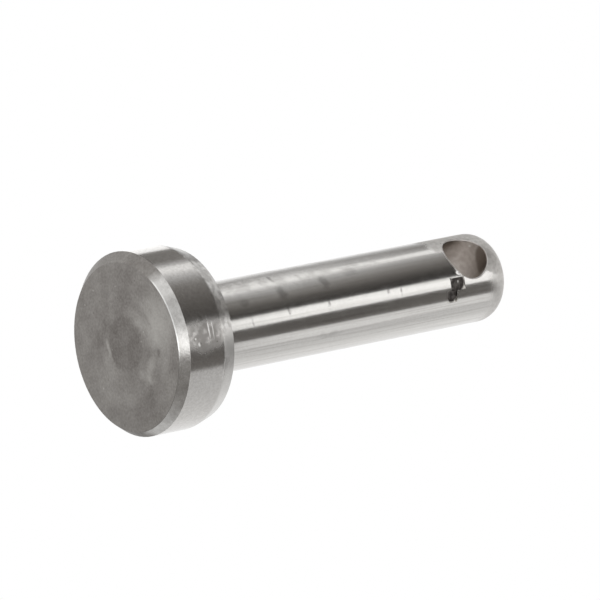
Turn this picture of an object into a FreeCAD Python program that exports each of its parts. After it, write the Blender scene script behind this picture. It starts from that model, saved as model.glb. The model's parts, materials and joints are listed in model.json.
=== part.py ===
import FreeCAD, Part
import math
import os
import Sketcher

# Headed connector pin, turned from one steel bar and cross-drilled near its end.
# It stands on its head: the head's outer face lies on Z = 0, the shaft rises along +Z,
# and the cross hole runs along X.

V = FreeCAD.Vector

doc = FreeCAD.newDocument("connector_pin")

# Driving sizes, in millimetres
sizes = doc.addObject("Spreadsheet::Sheet", "sizes")
DRIVING_SIZES = (
    ("shaft_diameter", 6.35, "plain shaft, a quarter inch"),
    ("overall_length", 32.05, "from the head's outer face to the end of the shaft"),
    ("head_diameter", 12.9, "disc head"),
    ("head_thickness", 4.53, "along the axis"),
    ("bevel_height", 0.5, "how far up the rim the bevel of the outer face reaches"),
    ("face_diameter", 11.8, "flat of the outer face, inside the bevel"),
    ("face_offset", 0.24, "how far that flat lies off the pin's axis, away from +X"),
    ("rear_cone_height", 1.1, "cone round the head's shaft side, along the axis"),
    ("rear_cone_drop", 0.34, "how far that cone runs in to the underside's edge"),
    ("rear_cone_round", 1.0, "radius of the worn corner between the rim and that cone"),
    ("underhead_radius", 0.2, "corner between head and shaft"),
    ("end_radius", 1.45, "rounded end of the shaft"),
    ("hole_diameter", 3.4, "cross hole"),
    ("hole_end_distance", 3.35, "from the hole's axis to the end of the shaft"),
    ("hole_edge_radius", 0.12, "worn edge where the hole leaves the shaft"),
    ("nick_depth", 0.11, "dents in the shaft beside the hole, at the middle of each"),
    ("first_nick_width", 1.05, "across the axis"),
    ("first_nick_length", 1.3, "along the axis"),
    ("first_nick_end_distance", 5.0, "from its middle to the end of the shaft"),
    ("first_nick_turn", 36, "degrees about the axis from +X to its middle"),
    ("first_nick_lean", 10, "degrees that its floor leans from the surface there"),
    ("second_nick_width", 0.85, "across the axis"),
    ("second_nick_length", 0.9, "along the axis"),
    ("second_nick_end_distance", 5.55, "from its middle to the end of the shaft"),
    ("second_nick_turn", 53, "degrees about the axis from +X to its middle"),
    ("second_nick_lean", 5, "degrees that its floor leans from the surface there"),
    ("cut_margin", 0.5, "how far a cutter reaches past the steel"),
)
for row, (name, value, note) in enumerate(DRIVING_SIZES, start=1):
    sizes.set("A%d" % row, name)
    sizes.set("B%d" % row, str(value))
    sizes.set("C%d" % row, note)
    sizes.setAlias("B%d" % row, name)
doc.recompute()

body = doc.addObject("PartDesign::Body", "connector_pin")
body.Label = "connector_pin"


def origin_plane(role):
    """The body's own origin plane with this role."""
    return next(item for item in body.Origin.OriginFeatures if item.Role == role)


def new_sketch(name, role):
    """A sketch of the body, flat on one of its origin planes."""
    sketch = body.newObject("Sketcher::SketchObject", name)
    sketch.AttachmentSupport = [(origin_plane(role), "")]
    sketch.MapMode = "FlatFace"
    return sketch


def size_constraint(sketch, name, expression, *arguments):
    """Adds a dimension to the sketch, named and bound to the sheet."""
    index = sketch.addConstraint(Sketcher.Constraint(*arguments))
    sketch.renameConstraint(index, name)
    sketch.setExpression("Constraints." + name, expression)


def line(start, end):
    """A straight sketch edge between two (x, y) points."""
    return Part.LineSegment(V(start[0], start[1], 0), V(end[0], end[1], 0))


def arc(centre, radius, start_angle, end_angle):
    """A round sketch edge; the angles are from the sketch's x axis, in radians."""
    circle = Part.Circle(V(centre[0], centre[1], 0), V(0, 0, 1), radius)
    return Part.ArcOfCircle(circle, start_angle, end_angle)


# Sketch names for the two ends and the centre of an edge
START, END, CENTRE = 1, 2, 3
# The sketch's own origin point; its own axes are -1, across, and -2, upright
ORIGIN = (-1, 1)


# Turned outline
# The half section in the XZ plane, from the top of the bevel to the shaft's end
shaft_r = sizes.shaft_diameter / 2
head_r = sizes.head_diameter / 2
head_z = sizes.head_thickness
bevel_z = sizes.bevel_height
cone_height = sizes.rear_cone_height
cone_drop = sizes.rear_cone_drop
cone_angle = math.atan(cone_drop / cone_height)
crown_r = sizes.rear_cone_round
rim_z = head_z - cone_height - crown_r * math.tan(cone_angle / 2)
cone_start = (head_r - crown_r * (1 - math.cos(cone_angle)), rim_z + crown_r * math.sin(cone_angle))
under_r = sizes.underhead_radius
end_r = sizes.end_radius
length = sizes.overall_length

outline = new_sketch("turned_outline", "XZ_Plane")
BASE, RIM, CROWN, CONE, UNDERSIDE, UNDER_ARC, SHAFT, END_ARC, TIP, AXIS = range(10)
outline.addGeometry([
    line((0, bevel_z), (head_r, bevel_z)),
    line((head_r, bevel_z), (head_r, rim_z)),
    arc((head_r - crown_r, rim_z), crown_r, 0, cone_angle),
    line(cone_start, (head_r - cone_drop, head_z)),
    line((head_r - cone_drop, head_z), (shaft_r + under_r, head_z)),
    arc((shaft_r + under_r, head_z + under_r), under_r, math.pi, 1.5 * math.pi),
    line((shaft_r, head_z + under_r), (shaft_r, length - end_r)),
    arc((shaft_r - end_r, length - end_r), end_r, 0, math.pi / 2),
    line((shaft_r - end_r, length), (0, length)),
    line((0, length), (0, bevel_z)),
], False)
outline.addConstraint([
    Sketcher.Constraint("PointOnObject", BASE, START, -2),
    Sketcher.Constraint("Coincident", BASE, END, RIM, START),
    Sketcher.Constraint("Tangent", RIM, END, CROWN, START),
    Sketcher.Constraint("Tangent", CROWN, END, CONE, START),
    Sketcher.Constraint("Coincident", CONE, END, UNDERSIDE, START),
    Sketcher.Constraint("Tangent", UNDERSIDE, END, UNDER_ARC, END),
    Sketcher.Constraint("Tangent", UNDER_ARC, START, SHAFT, START),
    Sketcher.Constraint("Tangent", SHAFT, END, END_ARC, START),
    Sketcher.Constraint("Tangent", END_ARC, END, TIP, START),
    Sketcher.Constraint("Coincident", TIP, END, AXIS, START),
    Sketcher.Constraint("Coincident", AXIS, END, BASE, START),
    Sketcher.Constraint("Horizontal", BASE),
    Sketcher.Constraint("Horizontal", UNDERSIDE),
    Sketcher.Constraint("Vertical", RIM),
    Sketcher.Constraint("Vertical", SHAFT),
    Sketcher.Constraint("Vertical", AXIS),
])
for name, expression, kind, *arguments in (
    ("bevel_top", "sizes.bevel_height", "DistanceY", *ORIGIN, BASE, END, bevel_z),
    ("head_radius", "sizes.head_diameter / 2", "DistanceX", *ORIGIN, RIM, START, head_r),
    ("head_height", "sizes.head_thickness", "DistanceY", *ORIGIN, UNDERSIDE, START, head_z),
    ("shaft_radius", "sizes.shaft_diameter / 2", "DistanceX", *ORIGIN, SHAFT, START, shaft_r),
    ("length", "sizes.overall_length", "DistanceY", *ORIGIN, TIP, END, length),
    ("cone_end", "sizes.head_diameter / 2 - sizes.rear_cone_drop",
     "DistanceX", *ORIGIN, CONE, END, head_r - cone_drop),
    ("rim_end", "sizes.head_thickness - sizes.rear_cone_height - sizes.rear_cone_round"
     " * tan(atan(sizes.rear_cone_drop / sizes.rear_cone_height) / 2)",
     "DistanceY", *ORIGIN, RIM, END, rim_z),
    ("cone_round", "sizes.rear_cone_round", "Radius", CROWN, crown_r),
    ("underhead", "sizes.underhead_radius", "Radius", UNDER_ARC, under_r),
    ("shaft_end", "sizes.end_radius", "Radius", END_ARC, end_r),
):
    size_constraint(outline, name, expression, kind, *arguments)

turned = body.newObject("PartDesign::Revolution", "turned_blank")
turned.Profile = outline
turned.ReferenceAxis = (outline, ["V_Axis"])
turned.Angle = 360
doc.recompute()
blank_volume = body.Shape.Volume

# Outer face and its bevel
# The bevel starts at one height all round the rim. It runs in to the edge of the flat face,
# which lies off centre, so the bevel is wider on the +X side than on the other.
ROUND = 0
face_r = sizes.face_diameter / 2
offset = sizes.face_offset
face_edge = new_sketch("face_edge", "XY_Plane")
face_edge.addGeometry(Part.Circle(V(-offset, 0, 0), V(0, 0, 1), face_r), False)
face_edge.addConstraint(Sketcher.Constraint("PointOnObject", ROUND, CENTRE, -1))
size_constraint(face_edge, "face_radius", "sizes.face_diameter / 2", "Radius", ROUND, face_r)
size_constraint(face_edge, "off_centre", "sizes.face_offset", "DistanceX", ROUND, CENTRE, *ORIGIN, offset)

bevel_top = new_sketch("bevel_top", "XY_Plane")
bevel_top.setExpression("AttachmentOffset.Base.z", "sizes.bevel_height")
bevel_top.addGeometry(Part.Circle(V(0, 0, 0), V(0, 0, 1), head_r), False)
bevel_top.addConstraint(Sketcher.Constraint("Coincident", ROUND, CENTRE, *ORIGIN))
size_constraint(bevel_top, "head_radius", "sizes.head_diameter / 2", "Radius", ROUND, head_r)

bevelled_face = body.newObject("PartDesign::AdditiveLoft", "bevelled_face")
bevelled_face.Profile = face_edge
bevelled_face.Sections = [bevel_top]
bevelled_face.Ruled = True
doc.recompute()
whole_volume = body.Shape.Volume

# Cross hole
hole_r = sizes.hole_diameter / 2
hole_z = length - sizes.hole_end_distance
hole_sketch = new_sketch("hole_profile", "YZ_Plane")
hole_sketch.addGeometry(Part.Circle(V(0, hole_z, 0), V(0, 0, 1), hole_r), False)
hole_sketch.addConstraint(Sketcher.Constraint("PointOnObject", ROUND, CENTRE, -2))
size_constraint(hole_sketch, "hole_radius", "sizes.hole_diameter / 2", "Radius", ROUND, hole_r)
size_constraint(hole_sketch, "hole_height", "sizes.overall_length - sizes.hole_end_distance",
                "DistanceY", *ORIGIN, ROUND, CENTRE, hole_z)

hole_cut = body.newObject("PartDesign::Pocket", "cross_hole")
hole_cut.Profile = hole_sketch
hole_cut.Midplane = True
hole_cut.Type = "Length"
hole_cut.setExpression("Length", "sizes.shaft_diameter + 2 * sizes.cut_margin")
doc.recompute()
drilled_volume = body.Shape.Volume


def is_hole_mouth(edge):
    """Whether the edge lies both on the hole's wall and on the shaft's surface."""
    tolerance = 1e-4
    for point in edge.discretize(9):
        from_hole_axis = V(0, point.y, point.z - hole_z).Length
        from_shaft_axis = V(point.x, point.y, 0).Length
        if abs(from_hole_axis - hole_r) > tolerance or abs(from_shaft_axis - shaft_r) > tolerance:
            return False
    return True


edges = enumerate(hole_cut.Shape.Edges, start=1)
mouths = ["Edge%d" % number for number, edge in edges if is_hole_mouth(edge)]
mouth_rounding = body.newObject("PartDesign::Fillet", "hole_mouth_rounding")
mouth_rounding.Base = (hole_cut, mouths)
mouth_rounding.setExpression("Radius", "sizes.hole_edge_radius")
doc.recompute()

rounded_volume = body.Shape.Volume


def cut_nick(order):
    """A dent with a flat floor, which leans from the shaft's surface at the dent's middle."""
    own = "sizes.%s_nick_" % order
    lean = own + "lean * 1deg"
    values = {
        "turn": "((%sturn + %slean) * 1deg)" % (own, own),
        "floor": "(sizes.shaft_diameter / 2 * cos(%s) - sizes.nick_depth)" % lean,
        "side": "(-sizes.shaft_diameter / 2 * sin(%s) - %swidth / 2)" % (lean, own),
        "width": own + "width",
        "length": own + "length",
        "end_distance": own + "end_distance",
    }
    nick = body.newObject("PartDesign::SubtractiveBox", order + "_nick")
    nick.AttachmentSupport = [(origin_plane("XY_Plane"), "")]
    nick.MapMode = "FlatFace"
    nick.AttachmentOffset = FreeCAD.Placement(V(0, 0, 0), FreeCAD.Rotation(V(0, 0, 1), 45))
    for name, expression in (
        ("AttachmentOffset.Rotation.Angle", "{turn}"),
        ("AttachmentOffset.Base.x", "{floor} * cos({turn}) - {side} * sin({turn})"),
        ("AttachmentOffset.Base.y", "{floor} * sin({turn}) + {side} * cos({turn})"),
        ("AttachmentOffset.Base.z", "sizes.overall_length - {end_distance} - {length} / 2"),
        ("Length", "sizes.nick_depth + sizes.cut_margin"),
        ("Width", "{width}"),
        ("Height", "{length}"),
    ):
        nick.setExpression(name, expression.format(**values))
    doc.recompute()
    return body.Shape.Volume


# Nicks in the shaft beside the hole, on the head's side of it
first_nick_volume = cut_nick("first")
second_nick_volume = cut_nick("second")

# The bevelled face adds steel, and each cut takes some away
cuts = (whole_volume, drilled_volume, rounded_volume, first_nick_volume, second_nick_volume)
if not blank_volume < whole_volume or not all(after < before for before, after in zip(cuts, cuts[1:])):
    raise RuntimeError("a step of the pin added or cut nothing")
for item in doc.Objects:
    if "Invalid" in item.State or "Error" in item.State:
        raise RuntimeError("%s failed: %s" % (item.Name, item.State))
if body.Shape.isNull() or not body.Shape.isValid():
    raise RuntimeError("connector_pin is not a valid solid")

os.makedirs("parts", exist_ok=True)
body.Shape.exportStep("parts/%s.step" % body.Label)
print("volume %.3f mm3, after each cut %s" % (body.Shape.Volume, ["%.3f" % cut for cut in cuts]))
print("solids", len(body.Shape.Solids), "faces", len(body.Shape.Faces), "box", body.Shape.BoundBox)
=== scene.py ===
"""Looks of the connector pin: a headed pin turned from one steel bar and cross-drilled near its end.

The pin stands on its head. Its outer face lies on the floor, its shaft rises along +Z and the
cross hole runs along X. Places and sizes on the steel are in millimetres; the camera, the floor,
the lamp and the cards round the pin are in metres.
"""
import json
import logging
import math
from dataclasses import dataclass
from enum import Enum
from typing import ClassVar

import bpy
from mathutils import Matrix, Vector


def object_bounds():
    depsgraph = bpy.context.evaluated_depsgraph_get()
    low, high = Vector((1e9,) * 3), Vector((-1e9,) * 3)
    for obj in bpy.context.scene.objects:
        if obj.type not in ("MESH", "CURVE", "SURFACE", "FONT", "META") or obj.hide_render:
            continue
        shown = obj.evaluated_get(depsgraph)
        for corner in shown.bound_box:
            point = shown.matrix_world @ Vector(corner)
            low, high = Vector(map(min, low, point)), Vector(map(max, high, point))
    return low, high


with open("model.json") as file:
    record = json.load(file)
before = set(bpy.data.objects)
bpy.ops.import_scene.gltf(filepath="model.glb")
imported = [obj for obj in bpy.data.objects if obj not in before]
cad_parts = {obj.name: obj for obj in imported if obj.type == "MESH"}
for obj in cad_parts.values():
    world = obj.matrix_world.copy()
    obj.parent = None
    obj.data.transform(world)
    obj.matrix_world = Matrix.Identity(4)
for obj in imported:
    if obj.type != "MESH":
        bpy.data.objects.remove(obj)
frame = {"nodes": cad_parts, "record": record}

LOG = logging.getLogger("connector_pin")
CAD_BOX = [list(corner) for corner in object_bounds()]
NODE = "connector_pin"
MM = 0.001
MICRON = 0.000001

Triple = tuple[float, float, float]
Colour = tuple[float, float, float, float]
Source = float | tuple[float, ...] | bpy.types.NodeSocket
ORIGIN: Triple = (0.0, 0.0, 0.0)
WHITE: Colour = (1.0, 1.0, 1.0, 1.0)


def mount(name: str) -> dict:
    """Finds one of the record's mounts by its name."""
    return next(entry for entry in frame["record"]["mounts"] if entry["name"] == name)


def add_object(name: str, data: bpy.types.ID) -> bpy.types.Object:
    """Makes an object and puts it in the scene.

    Args:
        name: the object's name.
        data: its camera, lamp or mesh.

    Returns:
        The object.
    """
    made = bpy.data.objects.new(name, data)
    bpy.context.scene.collection.objects.link(made)
    return made


def new_material(name: str) -> bpy.types.Material:
    """Makes a material that uses nodes, and returns it."""
    material = bpy.data.materials.new(name)
    material.use_nodes = True
    return material


@dataclass(frozen=True)
class PhotoCamera:
    """The photograph's viewing angle, given by how the pin lies in the picture.

    The pin's axis is tilted from the line of sight and slopes up to the right. The hole is turned
    about that axis from the picture's upper side towards the viewer.
    """

    axis_tilt: float = math.radians(52.5)
    axis_slope: float = math.radians(11.09)
    hole_turn: float = math.radians(57.0)
    distance: float = 0.43
    focal_length: float = 376.9
    sensor_width: float = 36.0
    head_right: float = -0.01183
    head_up: float = -0.003104

    def turn(self) -> Matrix:
        """Works out how the camera is turned.

        Returns:
            The rotation from the camera's axes to the pin's.
        """
        axis = Vector((
            math.sin(self.axis_tilt) * math.cos(self.axis_slope),
            math.sin(self.axis_tilt) * math.sin(self.axis_slope),
            -math.cos(self.axis_tilt),
        ))
        upper_side = Vector((-math.sin(self.axis_slope), math.cos(self.axis_slope), 0.0))
        near_side = axis.cross(upper_side)
        hole = math.cos(self.hole_turn) * upper_side + math.sin(self.hole_turn) * near_side
        return Matrix((hole, axis.cross(hole), axis))

    def build(self) -> None:
        """Makes the camera and hands it to the scene."""
        data = bpy.data.cameras.new("photo_camera")
        data.sensor_width = self.sensor_width
        data.lens = self.focal_length
        data.clip_start = self.distance / 10
        data.clip_end = self.distance * 10
        camera = add_object("photo_camera", data)
        turn = self.turn()
        head = Vector((self.head_right, self.head_up, -self.distance))
        camera.matrix_world = Matrix.Translation(-(turn @ head)) @ turn.to_4x4()
        bpy.context.scene.camera = camera


class Graph:
    """Adds and links the nodes of one node tree."""

    def __init__(self, tree: bpy.types.NodeTree) -> None:
        """Empties the tree and keeps it."""
        self.tree = tree
        tree.nodes.clear()

    def link(self, source: Source, socket: bpy.types.NodeSocket) -> None:
        """Feeds a socket from another socket or sets it to a value.

        Args:
            source: an output socket, a number or a tuple.
            socket: the input that takes it.
        """
        if isinstance(source, bpy.types.NodeSocket):
            self.tree.links.new(source, socket)
        else:
            socket.default_value = source

    def node(
        self, kind: str, inputs: dict[int | str, Source] | None = None, **settings: object
    ) -> bpy.types.Node:
        """Adds a node.

        Args:
            kind: the node's type, such as ShaderNodeMath.
            inputs: what feeds its inputs, by name or number.
            **settings: the node's own properties.

        Returns:
            The node.
        """
        made = self.tree.nodes.new(kind)
        for name, value in settings.items():
            setattr(made, name, value)
        for key, source in (inputs or {}).items():
            self.link(source, made.inputs[key])
        return made

    def math(self, operation: str, *values: Source) -> bpy.types.NodeSocket:
        """Adds a Math node and returns its output."""
        return self.node("ShaderNodeMath", dict(enumerate(values)), operation=operation).outputs[0]

    def times(self, first: Source, second: Source) -> bpy.types.NodeSocket:
        """Multiplies two numbers and returns the product."""
        return self.math("MULTIPLY", first, second)

    def total(self, first: Source, *others: Source) -> bpy.types.NodeSocket:
        """Adds up numbers and returns the sum."""
        for other in others:
            first = self.math("ADD", first, other)
        return first

    def joined(self, *masks: Source) -> bpy.types.NodeSocket:
        """Adds up masks and returns the sum, at most 1."""
        return self.math("MINIMUM", self.total(*masks), 1.0)

    def vector(self, operation: str, *values: Source) -> bpy.types.NodeSocket:
        """Adds a Vector Math node and returns its vector output."""
        return self.node("ShaderNodeVectorMath", dict(enumerate(values)), operation=operation).outputs[0]

    def length(self, vector: Source) -> bpy.types.NodeSocket:
        """Adds a Vector Math node and returns the vector's length."""
        return self.node("ShaderNodeVectorMath", {0: vector}, operation="LENGTH").outputs["Value"]

    def scaled(self, vector: Source, factor: float) -> bpy.types.NodeSocket:
        """Adds a Vector Math node and returns the vector times a number."""
        return self.node("ShaderNodeVectorMath", {0: vector, "Scale": factor}, operation="SCALE").outputs[0]

    def pair(self, x: Source, y: Source) -> bpy.types.NodeSocket:
        """Joins two numbers to a vector and returns it."""
        return self.node("ShaderNodeCombineXYZ", {"X": x, "Y": y}).outputs[0]

    def fade(
        self, value: Source, start: Source, end: Source, low: Source = 0.0, high: Source = 1.0
    ) -> bpy.types.NodeSocket:
        """Adds a smooth step of the value, from low at start to high at end, and returns it."""
        inputs = {"Value": value, "From Min": start, "From Max": end, "To Min": low, "To Max": high}
        return self.node("ShaderNodeMapRange", inputs, interpolation_type="SMOOTHSTEP").outputs["Result"]

    def noise(self, place: Source, scale: Source, detail: float) -> bpy.types.NodeSocket:
        """Adds a noise texture and returns its value."""
        inputs = {"Vector": place, "Scale": scale, "Detail": detail}
        return self.node("ShaderNodeTexNoise", inputs).outputs[0]

    def swing(self, place: Source, scale: float, detail: float, reach: float) -> bpy.types.NodeSocket:
        """Adds a noise texture and returns it as a value from -reach to reach."""
        return self.math("MULTIPLY_ADD", self.noise(place, scale, detail), 2 * reach, -reach)

    def mix(self, factor: Source, low: Source, high: Source) -> bpy.types.NodeSocket:
        """Mixes two numbers and returns the result."""
        return self.node("ShaderNodeMix", {0: factor, 2: low, 3: high}, data_type="FLOAT").outputs[0]

    def tint(self, factor: Source, low: Source, high: Source) -> bpy.types.NodeSocket:
        """Mixes two colours and returns the result."""
        return self.node("ShaderNodeMix", {0: factor, 6: low, 7: high}, data_type="RGBA").outputs[2]


class Effect:
    """A shader node group with named inputs and outputs, shared by the finishes."""

    def __init__(self, name: str, inputs: dict[str, float | Triple], outputs: dict[str, str]) -> None:
        """Makes the empty group.

        Args:
            name: the group's name.
            inputs: each input's name and its value where nothing feeds it.
            outputs: each output's name and its kind, Float or Vector.
        """
        self.tree = bpy.data.node_groups.new(name, "ShaderNodeTree")
        for label, value in inputs.items():
            kind = "NodeSocketFloat" if isinstance(value, float) else "NodeSocketVector"
            self.tree.interface.new_socket(label, in_out="INPUT", socket_type=kind).default_value = value
        for label, kind in outputs.items():
            self.tree.interface.new_socket(label, in_out="OUTPUT", socket_type="NodeSocket" + kind)
        self.graph = Graph(self.tree)
        self.given = self.graph.node("NodeGroupInput").outputs
        self.result = self.graph.node("NodeGroupOutput").inputs

    def put_out(self, **sources: Source) -> None:
        """Feeds the group's outputs."""
        for name, source in sources.items():
            self.graph.link(source, self.result[name])

    def place_in(self, graph: Graph, **inputs: Source) -> bpy.types.NodeOutputs:
        """Places the group in a material's graph, feeds its inputs and returns its outputs."""
        return graph.node("ShaderNodeGroup", inputs, node_tree=self.tree).outputs


def pin_place_effect() -> Effect:
    """Where a point lies on the pin, in millimetres.

    Returns:
        The group. Place is the point itself, Round its distance from the axis and its height.
        Hole is the cross hole's height, and Bore the distance from the hole's axis.
    """
    outputs = {"Place": "Vector", "Round": "Vector", "Radius": "Float", "Height": "Float", "Bore": "Float"}
    effect = Effect("pin_place", {"Hole": 0.0}, outputs)
    graph = effect.graph
    place = graph.scaled(graph.node("ShaderNodeTexCoord").outputs["Object"], 1 / MM)
    x, y, height = graph.node("ShaderNodeSeparateXYZ", {0: place}).outputs
    radius = graph.length(graph.pair(x, y))
    bore = graph.length(graph.pair(y, graph.math("SUBTRACT", height, effect.given["Hole"])))
    turned = graph.pair(radius, height)
    effect.put_out(Place=place, Round=turned, Radius=radius, Height=height, Bore=bore)
    return effect


def patches_effect() -> Effect:
    """Soft-edged patches of wear, as handling leaves them.

    Returns:
        The group. Level is where a patch starts: the higher it is, the fewer patches.
    """
    inputs = {"Place": ORIGIN, "Size": 1.0, "Level": 0.5, "Edge": 0.1}
    effect = Effect("wear_patches", inputs, {"Mask": "Float"})
    graph, given = effect.graph, effect.given
    cloud = graph.noise(given["Place"], graph.math("DIVIDE", 1.0, given["Size"]), 4.0)
    start = graph.math("SUBTRACT", given["Level"], given["Edge"])
    end = graph.math("ADD", given["Level"], given["Edge"])
    effect.put_out(Mask=graph.fade(cloud, start, end))
    return effect


def lines_effect() -> Effect:
    """Fine lines of turning, drawing or drilling.

    Returns:
        The group. Grain is how many lines there are to a millimetre along each axis. Lines runs
        from -1 to 1, about 0.
    """
    effect = Effect("fine_lines", {"Place": ORIGIN, "Grain": (1.0, 1.0, 1.0)}, {"Lines": "Float"})
    graph, given = effect.graph, effect.given
    grained = graph.vector("MULTIPLY", given["Place"], given["Grain"])
    effect.put_out(Lines=graph.swing(grained, 1.0, 3.0, 1.0))
    return effect


def specks_effect() -> Effect:
    """Small round pits or bright specks of uneven size.

    Returns:
        The group. Size is a speck's largest radius as a share of the spacing.
    """
    effect = Effect("specks", {"Place": ORIGIN, "Spacing": 1.0, "Size": 0.3}, {"Mask": "Float"})
    graph, given = effect.graph, effect.given
    scale = graph.math("DIVIDE", 1.0, given["Spacing"])
    cells = graph.node("ShaderNodeTexVoronoi", {"Vector": given["Place"], "Scale": scale}).outputs
    chance = graph.node("ShaderNodeSeparateColor", {0: cells["Color"]}).outputs[0]
    largest = graph.times(given["Size"], graph.math("POWER", chance, 3.0))
    effect.put_out(Mask=graph.fade(cells["Distance"], largest, graph.times(largest, 0.5)))
    return effect


def mark_effect() -> Effect:
    """One mark of wear: where the surface runs through a soft-edged ellipsoid.

    Returns:
        The group. Size holds the ellipsoid's half axes, Turn its turn in radians, and Core the
        share of them within which the mark is whole.
    """
    inputs = {"Place": ORIGIN, "Centre": ORIGIN, "Turn": ORIGIN, "Size": (1.0, 1.0, 1.0), "Core": 0.2}
    effect = Effect("wear_mark", inputs, {"Mask": "Float"})
    graph, given = effect.graph, effect.given
    placing = {
        "Vector": given["Place"],
        "Location": given["Centre"],
        "Rotation": given["Turn"],
        "Scale": given["Size"],
    }
    inside = graph.node("ShaderNodeMapping", placing, vector_type="TEXTURE").outputs[0]
    effect.put_out(Mask=graph.fade(graph.length(inside), 1.0, given["Core"]))
    return effect


@dataclass(frozen=True)
class Mark:
    """A mark of wear, in millimetres, with its turn about the pin's axis in degrees."""

    centre: Triple
    size: Triple
    strength: float = 1.0
    turn: float = 0.0
    core: float = 0.2


@dataclass(frozen=True)
class Patches:
    """Patches of wear: their size in millimetres, the level where they start and their soft edge."""

    size: float
    level: float
    edge: float


@dataclass(frozen=True)
class Skin:
    """What a finish gives the surface: its colour, its roughness and its height in metres."""

    colour: Source
    roughness: Source
    height: Source


class SteelGraph(Graph):
    """The pin's material graph, with the shared effects ready to be placed."""

    def __init__(self, tree: bpy.types.NodeTree, hole_height: float) -> None:
        """Empties the tree and places the group that tells where a point lies.

        Args:
            tree: the material's node tree.
            hole_height: the cross hole's height in millimetres.
        """
        super().__init__(tree)
        self.patches_group = patches_effect()
        self.lines_group = lines_effect()
        self.specks_group = specks_effect()
        self.mark_group = mark_effect()
        where = pin_place_effect().place_in(self, Hole=hole_height)
        self.place, self.round, self.radius, self.height, self.hole_distance = where

    def patches(self, patches: Patches) -> Source:
        """Places patches of wear and returns their mask."""
        inputs = {"Size": patches.size, "Level": patches.level, "Edge": patches.edge}
        return self.patches_group.place_in(self, Place=self.place, **inputs)["Mask"]

    def lines(self, grain: Triple, place: Source | None = None) -> Source:
        """Places fine lines and returns them, from -1 to 1."""
        place = self.place if place is None else place
        return self.lines_group.place_in(self, Place=place, Grain=grain)["Lines"]

    def ridges(self, grain: Triple, height: float, place: Source | None = None) -> Source:
        """Places fine lines and returns their height."""
        return self.times(self.lines(grain, place), height)

    def bumps(self, grain: float, detail: float, height: float) -> Source:
        """Places uneven bumps and returns their height."""
        return self.times(self.noise(self.place, grain, detail), height)

    def specks(self, spacing: float, size: float) -> Source:
        """Places specks and returns their mask."""
        return self.specks_group.place_in(self, Place=self.place, Spacing=spacing, Size=size)["Mask"]

    def mark(self, mark: Mark, place: Source | None = None) -> Source:
        """Places one mark of wear.

        Args:
            mark: where it lies and how strong it is.
            place: the point that is tested, if it isn't the pin's own place.

        Returns:
            The mark's mask, times its strength.
        """
        mask = self.mark_group.place_in(
            self,
            Place=self.place if place is None else place,
            Centre=mark.centre,
            Turn=(0.0, 0.0, math.radians(mark.turn)),
            Size=mark.size,
            Core=mark.core,
        )["Mask"]
        return self.times(mask, mark.strength)

    def marks(self, marks: tuple[Mark, ...], place: Source | None = None) -> Source:
        """Places marks of wear and returns the sum of their masks."""
        return self.total(*(self.mark(mark, place) for mark in marks))

    def ragged(self, amount: float, size: float) -> Source:
        """Shifts the pin's place unevenly, so that what is drawn with it gets a ragged outline.

        Args:
            amount: how far it shifts, in millimetres.
            size: how large the unevenness is, in millimetres.

        Returns:
            The shifted place.
        """
        inputs = {"Vector": self.place, "Scale": 1 / size, "Detail": 3.0}
        cloud = self.node("ShaderNodeTexNoise", inputs).outputs["Color"]
        shift = self.vector("SUBTRACT", cloud, (0.5, 0.5, 0.5))
        return self.vector("ADD", self.place, self.scaled(shift, 2 * amount))

    def lay(self, mask: Source, under: Skin, over: Skin) -> Skin:
        """Lays one skin over another where the mask is 1 and returns the joined skin."""
        return Skin(
            self.tint(mask, under.colour, over.colour),
            self.mix(mask, under.roughness, over.roughness),
            self.mix(mask, under.height, over.height),
        )


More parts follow.
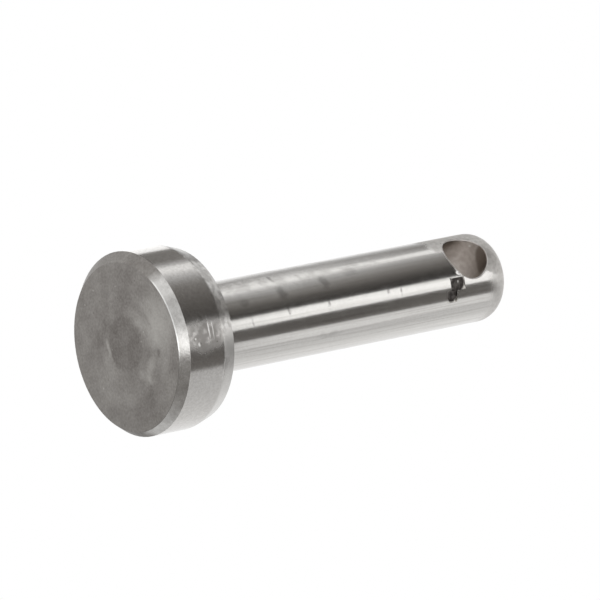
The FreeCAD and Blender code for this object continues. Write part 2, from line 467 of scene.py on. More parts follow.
@dataclass(frozen=True)
class DrawnShaft:
    """Bright drawn steel of the shaft: lines along it, rub marks round it and small dull patches."""

    bright: Colour = (0.64, 0.628, 0.607, 1.0)
    handled: Colour = (0.5, 0.485, 0.465, 1.0)
    scuffed: Colour = (0.27, 0.26, 0.25, 1.0)
    roughness: float = 0.15
    handled_roughness: float = 0.3
    line_grain: Triple = (7.0, 7.0, 0.35)
    line_height: float = 0.35 * MICRON
    wave_size: float = 1.6
    wave_height: float = 9.0 * MICRON
    worn_side: Mark = Mark((2.95, -1.5, 12.0), (2.1, 2.1, 14.0), core=0.5)
    worn_share: float = 0.75
    plain_share: float = 0.12
    dull_patches: Patches = Patches(0.9, 0.52, 0.1)
    dull_share: float = 0.35
    grain: Patches = Patches(0.16, 0.5, 0.35)
    grain_share: float = 0.3
    streak_grain: Triple = (5.0, 5.0, 0.1)
    streak_levels: tuple[float, float] = (-0.1, 0.4)
    streak_share: float = 0.45
    tick_breaks: Patches = Patches(0.3, 0.46, 0.14)
    ticks: tuple[Mark, ...] = (
        Mark((2.62, 1.8, 8.6), (0.6, 0.6, 0.13), 0.5),
        Mark((2.7, 1.66, 11.85), (0.6, 0.6, 0.16), 0.9),
        Mark((2.73, 1.61, 15.4), (0.6, 0.6, 0.18), 0.75),
        Mark((2.75, 1.58, 20.8), (0.6, 0.4, 0.24), 0.6),
        Mark((2.75, 1.58, 21.9), (0.6, 0.6, 0.15), 0.7),
    )
    smears: tuple[Mark, ...] = (
        Mark((3.17, 0.2, 11.8), (0.8, 0.8, 0.6), 0.6),
        Mark((3.17, 0.0, 15.7), (0.8, 0.85, 0.55), 0.55),
        Mark((3.14, 0.45, 8.4), (0.8, 0.5, 0.5), 0.35),
        Mark((2.94, -1.2, 11.8), (0.5, 0.6, 0.3), 0.7),
        Mark((3.1, -0.4, 18.3), (0.6, 0.6, 0.9), 0.3),
        Mark((1.0, 3.0, 15.5), (0.3, 0.25, 1.6), 0.25),
    )

    def build(self, graph: SteelGraph) -> Skin:
        """Works out the shaft's skin.

        Args:
            graph: the pin's material graph.

        Returns:
            The skin.
        """
        ticks = graph.marks(self.ticks, graph.ragged(amount=0.15, size=0.5))
        broken = graph.times(ticks, graph.patches(self.tick_breaks))
        smears = graph.marks(self.smears, graph.ragged(amount=0.4, size=0.6))
        worn = graph.mark(self.worn_side)
        worn_share = graph.mix(worn, self.plain_share, self.worn_share)
        dull = graph.times(graph.patches(self.dull_patches), worn_share)
        grain = graph.times(graph.patches(self.grain), self.grain_share)
        streaks = graph.fade(graph.lines(self.streak_grain), *self.streak_levels, high=self.streak_share)
        clean = graph.tint(graph.total(grain, streaks), self.bright, self.handled)
        handled = graph.tint(graph.times(dull, self.dull_share), clean, self.handled)
        waves = graph.swing(graph.place, 1 / self.wave_size, detail=2.0, reach=1.0)
        wave_height = graph.mix(worn, self.plain_share * self.wave_height, self.wave_height)
        return Skin(
            graph.tint(graph.joined(broken, smears), handled, self.scuffed),
            graph.mix(dull, self.roughness, self.handled_roughness),
            graph.total(graph.ridges(self.line_grain, self.line_height), graph.times(waves, wave_height)),
        )


@dataclass(frozen=True)
class TurnedRim:
    """The head's rim, bright from the lathe, with a dull rubbed patch and the marks in it."""

    bright: Colour = (0.62, 0.605, 0.585, 1.0)
    rubbed: Colour = (0.275, 0.262, 0.25, 1.0)
    pale: Colour = (0.78, 0.77, 0.75, 1.0)
    pitted: Colour = (0.14, 0.13, 0.125, 1.0)
    roughness: float = 0.15
    rubbed_roughness: float = 0.4
    line_grain: Triple = (0.6, 6.0, 0.0)
    line_height: float = 0.45 * MICRON
    rubbed_patch: Mark = Mark((5.2, 3.8, 2.0), (1.9, 1.75, 2.6), core=0.3)
    rubs: Patches = Patches(0.5, 0.38, 0.2)
    grain: Patches = Patches(0.18, 0.5, 0.35)
    grain_share: float = 0.35
    streaks: tuple[Mark, ...] = (
        Mark((5.45, 3.45, 2.3), (1.1, 1.1, 0.07)),
        Mark((5.4, 3.5, 2.62), (1.0, 1.0, 0.06), 0.8),
        Mark((4.87, 4.22, 1.33), (0.22, 0.22, 0.16)),
        Mark((5.15, 3.9, 1.05), (0.14, 0.14, 0.1), 0.8),
    )

    def build(self, graph: SteelGraph) -> Skin:
        """Works out the rim's skin.

        Args:
            graph: the pin's material graph.

        Returns:
            The skin.
        """
        patch = graph.mark(self.rubbed_patch, graph.ragged(amount=0.5, size=1.1))
        worn = graph.times(patch, graph.patches(self.rubs))
        grain = graph.times(graph.patches(self.grain), self.grain_share)
        pits = graph.times(patch, graph.specks(spacing=0.5, size=0.35))
        streaks = graph.marks(self.streaks, graph.ragged(amount=0.1, size=0.5))
        colour = graph.tint(grain, self.bright, self.rubbed)
        colour = graph.tint(worn, colour, self.rubbed)
        colour = graph.tint(pits, colour, self.pitted)
        return Skin(
            graph.tint(graph.joined(streaks), colour, self.pale),
            graph.mix(worn, self.roughness, self.rubbed_roughness),
            graph.ridges(self.line_grain, self.line_height, graph.round),
        )


@dataclass(frozen=True)
class WornShoulder:
    """The cone round the head's shaft side: dull steel with blotches, and painted shade over one side."""

    pale: Colour = (0.58, 0.568, 0.55, 1.0)
    # This darker colour serves both the blotches and the painted shade on one side.
    blotched_and_shaded: Colour = (0.37, 0.36, 0.345, 1.0)
    roughness: float = 0.22
    line_grain: Triple = (8.0, 8.0, 0.0)
    line_height: float = 0.5 * MICRON
    height: float = 1.2
    waviness: float = 0.3
    soft_edge: float = 0.3
    soft_inside: float = 1.0
    blotches: Patches = Patches(0.55, 0.5, 0.16)
    plain_side: Mark = Mark((0.0, 5.6, 4.3), (4.8, 3.0, 2.4), 0.85, core=0.6)
    # This mark paints shade over one side of the shoulder, in the darker colour.
    painted_shade_side: Mark = Mark((4.15, 3.9, 4.3), (1.9, 1.6, 2.4), 0.95, 43.0, core=0.35)

    def build(self, graph: SteelGraph) -> Skin:
        """Works out the shoulder's skin.

        Args:
            graph: the pin's material graph.

        Returns:
            The skin.
        """
        worn = graph.math("SUBTRACT", 1.0, graph.mark(self.plain_side))
        blotches = graph.times(graph.patches(self.blotches), worn)
        # The painted shade on one side joins the blotches here.
        blotches = graph.math("MAXIMUM", blotches, graph.mark(self.painted_shade_side))
        lines = graph.ridges(self.line_grain, self.line_height, graph.round)
        return Skin(graph.tint(blotches, self.pale, self.blotched_and_shaded), self.roughness, lines)

    def reach(self, graph: SteelGraph, top: float, inner_radius: float) -> Source:
        """Finds where the shoulder lies.

        Args:
            graph: the pin's material graph.
            top: the height of the head's flat underside.
            inner_radius: where that flat starts to fall away.

        Returns:
            The mask.
        """
        start = top - self.height
        waves = graph.noise(graph.place, 1.1, 2.0)
        wavy = graph.math("MULTIPLY_ADD", waves, self.waviness, graph.height)
        on_side = graph.fade(wavy, start, start + self.soft_edge)
        outside = graph.fade(graph.radius, inner_radius, inner_radius + self.soft_inside)
        return graph.times(on_side, outside)


@dataclass(frozen=True)
class FacedEnd:
    """The head's outer face: dull faced steel with a dark centre, faint rings and a painted reflection of
    its turned rings in light and dark sectors.
    """

    dark: Colour = (0.145, 0.132, 0.122, 1.0)
    pale: Colour = (0.47, 0.455, 0.43, 1.0)
    tone: float = 0.29
    bevel_tone: float = 0.31
    bevel_start: float = 0.02
    bevel_whole: float = 0.06
    cloud_tone: float = 0.25
    ring_tone: float = 0.07
    bright_specks: float = 0.35
    dark_specks: float = -0.25
    roughness: float = 0.42
    line_grain: Triple = (9.0, 0.0, 0.0)
    line_height: float = 0.7 * MICRON
    grain_height: float = 3.0 * MICRON
    centre_disc: Mark = Mark((-0.05, -0.15, 0.0), (2.2, 2.1, 1.0), -0.16, core=0.8)
    ring_grain: Triple = (3.2, 0.0, 0.0)
    # These marks paint the turned rings' reflection: light and dark sectors round the face, and smaller
    # light and dark spots.
    marks: tuple[Mark, ...] = (
        Mark((4.2, 1.2, 0.0), (3.1, 2.6, 1.0), 0.34, 12.0),
        Mark((3.1, 1.5, 0.0), (1.9, 1.6, 1.0), 0.14, 30.0),
        Mark((2.75, 3.2, 0.0), (1.5, 0.9, 1.0), 0.18, -35.0),
        Mark((0.7, 2.75, 0.0), (1.7, 0.65, 1.0), 0.28, -12.0),
        Mark((0.1, 3.3, 0.0), (0.35, 0.6, 1.0), 0.2),
        Mark((-0.35, 2.4, 0.0), (0.6, 0.45, 1.0), 0.18),
        Mark((2.35, -0.5, 0.0), (0.6, 1.3, 1.0), 0.17, -10.0),
        Mark((-1.85, -1.2, 0.0), (0.3, 0.85, 1.0), 0.34, 33.0),
        Mark((-2.5, -0.6, 0.0), (0.7, 1.2, 1.0), 0.12),
        Mark((-3.9, 0.5, 0.0), (2.1, 2.2, 1.0), 0.12),
        Mark((-2.5, 2.8, 0.0), (0.9, 0.8, 1.0), 0.12),
        Mark((0.8, 4.9, 0.0), (2.0, 1.0, 1.0), 0.08),
        Mark((-1.4, 4.3, 0.0), (2.6, 1.6, 1.0), -0.13),
        Mark((-2.0, -2.3, 0.0), (2.2, 0.8, 1.0), -0.13),
        Mark((2.9, -2.7, 0.0), (3.1, 1.5, 1.0), -0.12, -20.0),
        Mark((3.1, 0.5, 0.0), (0.25, 0.9, 1.0), -0.16, 6.0),
        Mark((2.4, 2.75, 0.0), (0.45, 0.2, 1.0), -0.25, -30.0),
    )

    def build(self, graph: SteelGraph) -> Skin:
        """Works out the outer face's skin.

        Args:
            graph: the pin's material graph.

        Returns:
            The skin.
        """
        grain = graph.swing(graph.place, 5.5, detail=3.0, reach=self.cloud_tone)
        # The tone holds the painted reflection from the marks along with the face's own tone, rings and
        # specks.
        tone = graph.total(
            graph.fade(graph.height, self.bevel_start, self.bevel_whole, self.tone, self.bevel_tone),
            graph.marks(self.marks, graph.ragged(amount=0.45, size=1.3)),
            graph.mark(self.centre_disc, graph.ragged(amount=0.15, size=0.8)),
            graph.times(graph.lines(self.ring_grain, graph.round), self.ring_tone),
            graph.swing(graph.place, 0.8, detail=4.0, reach=self.cloud_tone),
            grain,
            graph.times(graph.specks(spacing=0.75, size=0.14), self.bright_specks),
            graph.times(graph.specks(spacing=0.6, size=0.13), self.dark_specks),
        )
        lines = graph.ridges(self.line_grain, self.line_height, graph.round)
        height = graph.total(lines, graph.times(grain, self.grain_height))
        return Skin(graph.tint(tone, self.dark, self.pale), self.roughness, height)


@dataclass(frozen=True)
class RubbedBevel:
    """The bright side of the bevel: rubbed bare, grainy, with a painted highlight along its inner edge."""

    bright: Colour = (0.72, 0.71, 0.69, 1.0)
    grained: Colour = (0.5, 0.488, 0.47, 1.0)
    # This colour paints a highlight along the bevel's inner edge.
    edge: Colour = (0.9, 0.9, 0.88, 1.0)
    roughness: float = 0.18
    bump_height: float = 5.0 * MICRON
    blotches: Patches = Patches(0.6, 0.52, 0.25)
    blotch_share: float = 0.7
    grain: Patches = Patches(0.2, 0.5, 0.25)
    grain_share: float = 0.3
    side: Mark = Mark((3.5, 5.0, 0.2), (7.2, 7.2, 3.0), core=0.85)
    highlight_side: Mark = Mark((5.8, 2.0, 0.2), (3.5, 3.5, 3.0), core=0.8)
    edge_rise: float = 0.09

    def build(self, graph: SteelGraph) -> Skin:
        """Works out the bevel's skin.

        Args:
            graph: the pin's material graph.

        Returns:
            The skin.
        """
        blotches = graph.times(graph.patches(self.blotches), self.blotch_share)
        grain = graph.times(graph.patches(self.grain), self.grain_share)
        colour = graph.tint(graph.total(blotches, grain), self.bright, self.grained)
        # A painted highlight along the inner edge, on one side of the bevel.
        painted_edge_highlight = graph.fade(graph.height, self.edge_rise, 0.5 * self.edge_rise)
        painted_edge_highlight = graph.times(painted_edge_highlight, graph.mark(self.highlight_side))
        height = graph.bumps(grain=3.5, detail=2.0, height=self.bump_height)
        return Skin(graph.tint(painted_edge_highlight, colour, self.edge), self.roughness, height)


@dataclass(frozen=True)
class DrilledWall:
    """The wall of the cross hole: dull, with drilling marks round it, a brown stained patch, a crescent of
    painted shade towards the pin's end and a painted highlight.
    """

    wall: Colour = (0.54, 0.497, 0.465, 1.0)
    worn: Colour = (0.66, 0.622, 0.59, 1.0)
    # Dark brown, for the stain and for the painted shade crescent.
    stain_and_shade: Colour = (0.27, 0.232, 0.205, 1.0)
    glint: Colour = (0.8, 0.79, 0.77, 1.0)
    roughness: float = 0.36
    drill_grain: Triple = (5.5, 0.4, 0.4)
    drill_height: float = 1.2 * MICRON
    wear: Patches = Patches(0.45, 0.5, 0.2)
    # The first mark is a brown stain; the second is a crescent of painted shade on the wall towards the
    # pin's end.
    stain_and_shade_marks: tuple[Mark, ...] = (
        Mark((2.45, -1.6, 28.55), (1.0, 0.5, 1.1), 0.8, core=0.3),
        Mark((2.9, 0.42, 30.3), (1.45, 1.1, 0.65), 0.9, core=0.75),
    )
    # A painted highlight: a small pale spot on the hole wall.
    glint_mark: Mark = Mark((2.5, -1.02, 30.06), (0.16, 0.14, 0.14))

    def build(self, graph: SteelGraph) -> Skin:
        """Works out the hole wall's skin.

        Args:
            graph: the pin's material graph.

        Returns:
            The skin.
        """
        stain_and_shade_marks = graph.marks(self.stain_and_shade_marks, graph.ragged(amount=0.1, size=0.7))
        colour = graph.tint(graph.patches(self.wear), self.wall, self.worn)
        colour = graph.tint(graph.joined(stain_and_shade_marks), colour, self.stain_and_shade)
        colour = graph.tint(graph.mark(self.glint_mark), colour, self.glint)
        return Skin(colour, self.roughness, graph.ridges(self.drill_grain, self.drill_height))


@dataclass(frozen=True)
class FiledMouth:
    """Where the burr round the hole was filed off: matt steel, widest towards the pin's end."""

    matt: Colour = (0.66, 0.643, 0.62, 1.0)
    shaded: Colour = (0.53, 0.512, 0.49, 1.0)
    roughness: float = 0.58
    bump_height: float = 6.0 * MICRON
    shading: Patches = Patches(0.3, 0.5, 0.2)
    narrow: float = 0.1
    filed: tuple[Mark, ...] = (
        Mark((2.95, -0.5, 31.0), (1.9, 2.5, 2.0), core=0.85),
        Mark((2.2, -2.3, 28.6), (1.6, 1.0, 3.0), core=0.6),
        Mark((2.9, -1.3, 26.8), (0.8, 1.0, 0.9), 0.8, core=0.3),
        Mark((0.0, 0.0, 32.3), (9.0, 9.0, 2.9), 0.8, core=0.5),
    )
    # The burr's pale colour is a painted highlight; its raised height is a real bump.
    burr_painted_highlight: Colour = (0.8, 0.79, 0.77, 1.0)
    burr_height: float = 80.0 * MICRON
    burr: Mark = Mark((2.98, 1.08, 27.38), (0.3, 0.4, 0.42), core=0.1)

    def build(self, graph: SteelGraph) -> Skin:
        """Works out the skin of the filed steel."""
        colour = graph.tint(graph.patches(self.shading), self.matt, self.shaded)
        return Skin(colour, self.roughness, graph.bumps(grain=4.0, detail=3.0, height=self.bump_height))

    def reach(self, graph: SteelGraph, hole_radius: float) -> Source:
        """Finds where the steel round the hole is filed and returns the mask."""
        near = graph.fade(graph.hole_distance, hole_radius + 2 * self.narrow, hole_radius + self.narrow)
        return graph.joined(near, graph.marks(self.filed, graph.ragged(amount=0.25, size=0.8)))

    def raise_burr(self, graph: SteelGraph, skin: Skin) -> Skin:
        """Raises what is left of the burr at the mouth's lower edge and paints a highlight on it.

        Args:
            graph: the pin's material graph.
            skin: the skin that it stands on.

        Returns:
            The skin with the burr.
        """
        burr = graph.mark(self.burr)
        return Skin(
            graph.tint(burr, skin.colour, self.burr_painted_highlight),
            skin.roughness,
            graph.total(skin.height, graph.times(burr, self.burr_height)),
        )


@dataclass(frozen=True)
class Nicks:
    """The two nicks beside the hole: near-black painted shade in their recesses, mottled, with a few bright
    grains.
    """

    # Both dark colours are painted shade in the nicks' recesses.
    nick_shade: Colour = (0.06, 0.053, 0.05, 1.0)
    nick_shade_pale: Colour = (0.13, 0.12, 0.112, 1.0)
    grain: Colour = (0.5, 0.49, 0.47, 1.0)
    roughness: float = 0.5
    bump_height: float = 25.0 * MICRON
    ground_patches: Patches = Patches(0.28, 0.52, 0.1)
    shallowest: float = 0.012
    deepest: float = 0.035
    places: tuple[Mark, ...] = (
        Mark((2.57, 1.87, 27.08), (0.8, 0.68, 0.7), core=0.8),
        Mark((2.05, 2.42, 26.5), (0.7, 0.5, 0.52), core=0.8),
    )
    bright_grain: Mark = Mark((2.55, 1.75, 27.15), (0.16, 0.14, 0.12))

    def build(self, graph: SteelGraph) -> Skin:
        """Works out the nicks' skin.

        Args:
            graph: the pin's material graph.

        Returns:
            The skin.
        """
        colour = graph.tint(graph.patches(self.ground_patches), self.nick_shade, self.nick_shade_pale)
        colour = graph.tint(graph.mark(self.bright_grain), colour, self.grain)
        return Skin(colour, self.roughness, graph.bumps(grain=4.5, detail=3.0, height=self.bump_height))

    def reach(self, graph: SteelGraph, shaft_radius: float) -> Source:
        """Finds where the surface lies under the shaft's own round.

        Args:
            graph: the pin's material graph.
            shaft_radius: the shaft's radius.

        Returns:
            The mask.
        """
        # The painted shade goes where the surface sinks under the shaft's round, within the nicks' places.
        depth = graph.math("SUBTRACT", shaft_radius, graph.radius)
        cut = graph.fade(depth, self.shallowest, self.deepest)
        nick_shade = graph.marks(self.places, graph.ragged(amount=0.1, size=0.4))
        return graph.times(cut, graph.joined(nick_shade))


@dataclass(frozen=True)
class ConnectorPin:
    """The pin itself: its sizes in millimetres, as the frame holds them, and its finishes."""

    shaft_radius: float = mount("shaft")["dims"]["r_mm"]
    hole_radius: float = mount("cross_hole")["dims"]["r_mm"]
    hole_height: float = mount("cross_hole")["pos_m"][2] / MM
    head_thickness: float = mount("head_bearing_face")["pos_m"][2] / MM
    head_radius: float = CAD_BOX[1][0] / MM
    bevel_height: float = 0.5
    shaft_middle: float = mount("shaft")["pos_m"][2] / MM
    shaft_length: float = mount("shaft")["dims"]["length_mm"]
    edge: float = 0.03
    facet_depth: float = 0.008
    shaft: DrawnShaft = DrawnShaft()
    rim: TurnedRim = TurnedRim()
    shoulder: WornShoulder = WornShoulder()
    face: FacedEnd = FacedEnd()
    bevel: RubbedBevel = RubbedBevel()
    wall: DrilledWall = DrilledWall()
    mouth: FiledMouth = FiledMouth()
    nicks: Nicks = Nicks()

    @property
    def between(self) -> float:
        """The radius halfway from the shaft to the head's rim."""
        return (self.shaft_radius + self.head_radius) / 2

    def head_skin(self, graph: SteelGraph) -> Skin:
        """Joins the skins of the head, from its rim to its outer face.

        Args:
            graph: the pin's material graph.

        Returns:
            The head's skin.
        """
        on_shoulder = self.shoulder.reach(graph, self.head_thickness, self.between)
        skin = graph.lay(on_shoulder, self.rim.build(graph), self.shoulder.build(graph))
        face = self.face.build(graph)
        rubbed = graph.mark(self.bevel.side, graph.ragged(amount=0.5, size=1.0))
        bevel = graph.lay(rubbed, face, self.bevel.build(graph))
        on_bevel = graph.fade(graph.height, self.bevel_height + self.edge, self.bevel_height)
        skin = graph.lay(on_bevel, skin, bevel)
        on_face = graph.fade(graph.height, self.edge, 0.5 * self.edge)
        return graph.lay(on_face, skin, face)

    def shaft_skin(self, graph: SteelGraph) -> Skin:
        """Joins the skins of the shaft, its hole and its nicks.

        Args:
            graph: the pin's material graph.

        Returns:
            The shaft's skin.
        """
        skin = self.shaft.build(graph)
        skin = graph.lay(self.mouth.reach(graph, self.hole_radius), skin, self.mouth.build(graph))
        skin = self.mouth.raise_burr(graph, skin)
        wall_edge = self.hole_radius + 0.4 * self.edge
        in_hole = graph.fade(graph.hole_distance, self.hole_radius + self.edge, wall_edge)
        skin = graph.lay(in_hole, skin, self.wall.build(graph))
        return graph.lay(self.nicks.reach(graph, self.shaft_radius), skin, self.nicks.build(graph))

    def close_to(self, graph: SteelGraph, radius: float) -> Source:
        """Finds where the surface lies within the mesh facets' depth of a radius."""
        apart = graph.math("ABSOLUTE", graph.math("SUBTRACT", graph.radius, radius))
        return graph.fade(apart, 1.7 * self.facet_depth, self.facet_depth)

    def round_normal(self, graph: SteelGraph) -> Source:
        """Takes the mesh's facets and its seam out of the shaft's and the rim's normals.

        Args:
            graph: the pin's material graph.

        Returns:
            The surface's normal, which on the plain shaft and rim points straight from the axis.
        """
        from_middle = graph.math("ABSOLUTE", graph.math("SUBTRACT", graph.height, self.shaft_middle))
        half_length = self.shaft_length / 2
        along_shaft = graph.fade(from_middle, half_length, half_length - self.edge)
        on_shaft = graph.times(self.close_to(graph, self.shaft_radius), along_shaft)
        on_round = graph.math("MAXIMUM", on_shaft, self.close_to(graph, self.head_radius))
        outwards = graph.vector("NORMALIZE", graph.vector("MULTIPLY", graph.place, (1.0, 1.0, 0.0)))
        faceted = graph.node("ShaderNodeTexCoord").outputs["Normal"]
        normals = {0: on_round, 4: faceted, 5: outwards}
        mixed = graph.node("ShaderNodeMix", normals, data_type="VECTOR").outputs[1]
        transform = {"vector_type": "NORMAL", "convert_from": "OBJECT", "convert_to": "WORLD"}
        return graph.node("ShaderNodeVectorTransform", {0: mixed}, **transform).outputs[0]

    def build_steel(self) -> bpy.types.Material:
        """Makes the pin's material.

        Returns:
            The material.
        """
        material = new_material("turned_steel")
        graph = SteelGraph(material.node_tree, self.hole_height)
        under_top = graph.fade(graph.height, self.head_thickness + self.edge, self.head_thickness)
        outside = graph.fade(graph.radius, self.shaft_radius, self.between)
        on_head = graph.math("MAXIMUM", under_top, outside)
        skin = graph.lay(on_head, self.shaft_skin(graph), self.head_skin(graph))
        normal = graph.node("ShaderNodeBump", {
            "Height": skin.height,
            "Strength": 1.0,
            "Distance": 1.0,
            "Normal": self.round_normal(graph),
        })
        surface = graph.node("ShaderNodeBsdfPrincipled", {
            "Metallic": 1.0,
            "Base Color": skin.colour,
            "Roughness": skin.roughness,
            "Normal": normal.outputs[0],
        })
        graph.node("ShaderNodeOutputMaterial", {"Surface": surface.outputs[0]})
        return material

    def dress(self) -> None:
        """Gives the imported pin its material."""
        pin = frame["nodes"][NODE]
        material = self.build_steel()
        for slot in pin.material_slots:
            slot.material = material
        LOG.info("%s: %d faces, %s", NODE, len(pin.data.polygons), material.name)


class Reach(Enum):
    """What a piece of the studio is seen by."""

    REFLECTIONS = "reflections"
    CAMERA = "camera"


def put_on_stage(mesh: bpy.types.Mesh, reach: Reach) -> None:
    """Makes a piece of the studio that only one kind of ray sees.

    Args:
        mesh: the piece's mesh, which it takes its name from.
        reach: the only rays that see it.
    """
    piece = add_object(mesh.name, mesh)
    piece.visible_camera = reach is Reach.CAMERA
    piece.visible_glossy = reach is Reach.REFLECTIONS
    piece.visible_diffuse = piece.visible_transmission = False
    piece.visible_volume_scatter = piece.visible_shadow = False


class Tier(Enum):
    """How high a card stands: bottom and top, in metres from the floor.

    Seen from the photograph's side, the bevel mirrors the lowest cards. Above them come those of
    the head's rim, the shaft and the head's shoulder.
    """

    BEVEL = (-0.33, 0.03)
    RIM = (0.03, 0.0655)
    SHAFT = (0.0655, 0.103)
    SHOULDER = (0.103, 0.32)


@dataclass(frozen=True)
class Card:
    """One upright curved card round the pin, seen only in its reflections.

    Angles are turned about the pin's axis from the picture's upper side towards the viewer, in
    degrees. The card's light changes evenly to the eye from one level to the other, and upwards
    by the factor rise in each RISE_STEP, as far as RISE_HEIGHT.
    """

    RISE_STEP: ClassVar[float] = 0.025
    RISE_HEIGHT: ClassVar[float] = 0.03

    name: str
    tier: Tier
    start: float
    end: float
    start_level: float
    end_level: float
    rise: float = 1.0

    def level(self, along: float, up: float) -> float:
        """Works out the light at a share of the card's length and a height over its bottom."""
        risen = self.rise ** (min(up, self.RISE_HEIGHT) / self.RISE_STEP)
        return self.start_level * (self.end_level / self.start_level) ** along * risen


@dataclass(frozen=True)
class Studio:
    """Pale floor, white surroundings, a soft lamp and the cards that the steel mirrors."""

    card_turn: float = PhotoCamera.hole_turn
    card_distance: float = 0.08
    card_step: float = 2.0
    card_row: float = 0.0125
    card_shade: Colour = (1.0, 0.945, 0.895, 1.0)
    shaded_level: float = 0.1
    white_level: float = 0.6
    floor_radius: float = 0.09
    floor_sides: int = 96
    floor_fade_start: float = 0.45
    floor_fade_end: float = 0.98
    floor_gap: float = 0.00002
    floor_colour: Colour = (0.9, 0.9, 0.9, 1.0)
    ambient_level: float = 0.55
    lamp_power: float = 1.1
    lamp_size: float = 0.3
    lamp_place: Triple = (0.12, -0.2, 0.42)
    cards: tuple[Card, ...] = (
        Card("shaft_rear_flag_far", Tier.SHAFT, -62.0, -36.0, 0.95, 0.48, 0.8),
        Card("shaft_rear_flag_near", Tier.SHAFT, -36.0, -12.0, 0.82, 1.5, 0.31),
        Card("shaft_pale_strip", Tier.SHAFT, -12.0, 4.0, 1.25, 1.25),
        Card("shaft_graded_flag", Tier.SHAFT, 4.0, 44.0, 1.25, 0.34, 0.45),
        Card("shaft_dark_flag", Tier.SHAFT, 44.0, 79.5, 0.34, 0.055, 0.45),
        Card("shaft_strip_light", Tier.SHAFT, 79.5, 105.5, 1.45, 1.45),
        Card("shaft_near_flag", Tier.SHAFT, 105.0, 138.0, 0.1, 0.14, 1.3),
        Card("shaft_side_card", Tier.SHAFT, 161.0, 205.0, 0.7, 0.95),
        Card("rim_top_light", Tier.RIM, -95.0, -41.0, 1.4, 1.4),
        Card("rim_rear_flag_far", Tier.RIM, -41.0, -12.0, 0.28, 0.25),
        Card("rim_rear_flag_near", Tier.RIM, -12.0, -1.0, 0.25, 0.9),
        Card("rim_pale_strip", Tier.RIM, -1.0, 9.0, 1.25, 1.25),
        Card("rim_graded_flag", Tier.RIM, 9.0, 30.0, 1.1, 0.32),
        Card("rim_dark_flag", Tier.RIM, 30.0, 82.0, 0.3, 0.08),
        Card("rim_strip_light", Tier.RIM, 82.0, 107.0, 1.15, 1.15),
        Card("rim_near_flag", Tier.RIM, 107.0, 136.0, 0.15, 0.2),
        Card("rim_side_card", Tier.RIM, 136.0, 220.0, 0.64, 0.97),
        Card("bevel_rear_card", Tier.BEVEL, -60.0, -16.0, 0.95, 1.2),
        Card("bevel_pale_card", Tier.BEVEL, -16.0, 12.0, 0.9, 0.95),
        Card("bevel_grey_card", Tier.BEVEL, 12.0, 80.0, 0.6, 0.7),
        Card("bevel_strip_light", Tier.BEVEL, 80.0, 128.0, 1.6, 1.6),
        Card("bevel_near_flag", Tier.BEVEL, 128.0, 176.0, 0.28, 0.25),
        Card("bevel_graded_card", Tier.BEVEL, 176.0, 210.0, 0.28, 0.75),
        Card("bevel_side_card", Tier.BEVEL, 210.0, 262.0, 0.65, 0.62),
        Card("shoulder_dark_flag", Tier.SHOULDER, 12.0, 76.0, 0.85, 0.11),
        Card("shoulder_strip_light", Tier.SHOULDER, 76.0, 112.0, 1.4, 1.4),
        Card("shoulder_near_flag", Tier.SHOULDER, 112.0, 168.0, 0.9, 0.38),
        Card("shoulder_side_card", Tier.SHOULDER, 168.0, 212.0, 0.75, 0.92),
    )

    def build(self) -> None:
        """Makes the whole studio."""
        self.build_world()
        self.build_floor()
        self.build_lamp()
        for card in self.cards:
            self.build_card(card)
        LOG.info("studio: %d cards", len(self.cards))

    def build_world(self) -> None:
        """White for the camera and for reflections, a plain level for everything else."""
        world = bpy.data.worlds.new("white_surroundings")
        bpy.context.scene.world = world
        world.use_nodes = True
        world.cycles.sampling_method = "NONE"
        graph = Graph(world.node_tree)
        path = graph.node("ShaderNodeLightPath").outputs
        seen = graph.math("MAXIMUM", path["Is Camera Ray"], path["Is Glossy Ray"])
        seen = graph.math("MAXIMUM", seen, path["Is Transmission Ray"])
        level = graph.mix(seen, self.ambient_level, 1.0)
        background = graph.node("ShaderNodeBackground", {"Color": WHITE, "Strength": level})
        graph.node("ShaderNodeOutputWorld", {"Surface": background.outputs[0]})

    def build_floor(self) -> None:
        """A pale round floor that fades into the white surroundings and is clear from below."""
        mesh = bpy.data.meshes.new("floor")
        corners, radius = range(self.floor_sides), self.floor_radius
        angles = [corner * math.tau / self.floor_sides for corner in corners]
        ring = [(radius * math.cos(angle), radius * math.sin(angle), -self.floor_gap) for angle in angles]
        mesh.from_pydata(ring, [], [tuple(corners)])
        material = new_material("pale_floor")
        graph = Graph(material.node_tree)
        distance = graph.length(graph.node("ShaderNodeTexCoord").outputs["Object"])
        faded = graph.fade(distance, self.floor_fade_start * radius, self.floor_fade_end * radius)
        below = graph.node("ShaderNodeNewGeometry").outputs["Backfacing"]
        matt = graph.node("ShaderNodeBsdfDiffuse", {"Color": self.floor_colour})
        clear = graph.node("ShaderNodeBsdfTransparent")
        hidden = graph.math("MAXIMUM", faded, below)
        mixed = graph.node("ShaderNodeMixShader", {0: hidden, 1: matt.outputs[0], 2: clear.outputs[0]})
        graph.node("ShaderNodeOutputMaterial", {"Surface": mixed.outputs[0]})
        mesh.materials.append(material)
        put_on_stage(mesh, Reach.CAMERA)

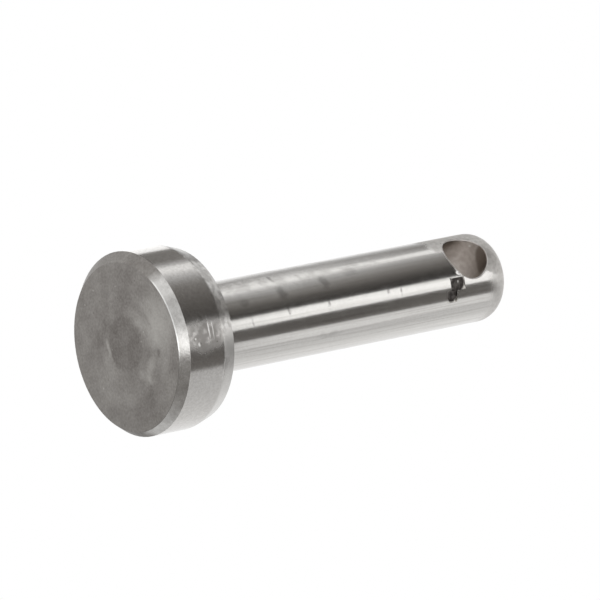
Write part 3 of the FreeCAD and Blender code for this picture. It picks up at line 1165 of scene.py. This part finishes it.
    def build_lamp(self) -> None:
        """One large soft lamp over the floor."""
        data = bpy.data.lights.new("soft_lamp", "AREA")
        data.shape = "DISK"
        data.size = self.lamp_size
        data.energy = self.lamp_power
        lamp = add_object("soft_lamp", data)
        lamp.location = self.lamp_place
        lamp.rotation_euler = (-Vector(self.lamp_place)).to_track_quat("-Z", "Y").to_euler()
        lamp.visible_camera = False
        lamp.visible_glossy = False

    def card_mesh(self, card: Card) -> bpy.types.Mesh:
        """Makes one card's curved mesh, with its light as a shade at each point.

        Args:
            card: where it stands and how light it is.

        Returns:
            The mesh.
        """
        bottom, top = card.tier.value
        rows = round((top - bottom) / self.card_row)
        steps = max(2, round(abs(card.end - card.start) / self.card_step))
        points: list[Triple] = []
        levels: list[float] = []
        for step in range(steps + 1):
            along = step / steps
            angle = math.radians(card.start + (card.end - card.start) * along) - self.card_turn
            for row in range(rows + 1):
                up = (top - bottom) * row / rows
                points.append((
                    self.card_distance * math.cos(angle),
                    self.card_distance * math.sin(angle),
                    bottom + up,
                ))
                levels.append(card.level(along, up))
        corners = [step * (rows + 1) + row for step in range(steps) for row in range(rows)]
        quads = [(first, first + rows + 1, first + rows + 2, first + 1) for first in corners]
        mesh = bpy.data.meshes.new(card.name)
        mesh.from_pydata(points, [], quads)
        mesh.attributes.new("shade", "FLOAT", "POINT").data.foreach_set("value", levels)
        return mesh

    def build_card(self, card: Card) -> None:
        """Makes one curved card that glows with its own shade.

        Args:
            card: where it stands and how light it is.
        """
        mesh = self.card_mesh(card)
        material = new_material(card.name)
        material.cycles.emission_sampling = "NONE"
        graph = Graph(material.node_tree)
        level = graph.node("ShaderNodeAttribute", attribute_name="shade").outputs["Fac"]
        whiteness = graph.fade(level, self.shaded_level, self.white_level)
        colour = graph.tint(whiteness, self.card_shade, WHITE)
        glow = graph.node("ShaderNodeEmission", {"Color": colour, "Strength": level})
        graph.node("ShaderNodeOutputMaterial", {"Surface": glow.outputs[0]})
        mesh.materials.append(material)
        put_on_stage(mesh, Reach.REFLECTIONS)


def main() -> None:
    """Builds the camera, the studio and the pin's finish in order."""
    logging.basicConfig(level=logging.INFO)
    bpy.context.scene.view_settings.view_transform = "Standard"
    PhotoCamera().build()
    Studio().build()
    ConnectorPin().dress()


if __name__ == "__main__":
    main()
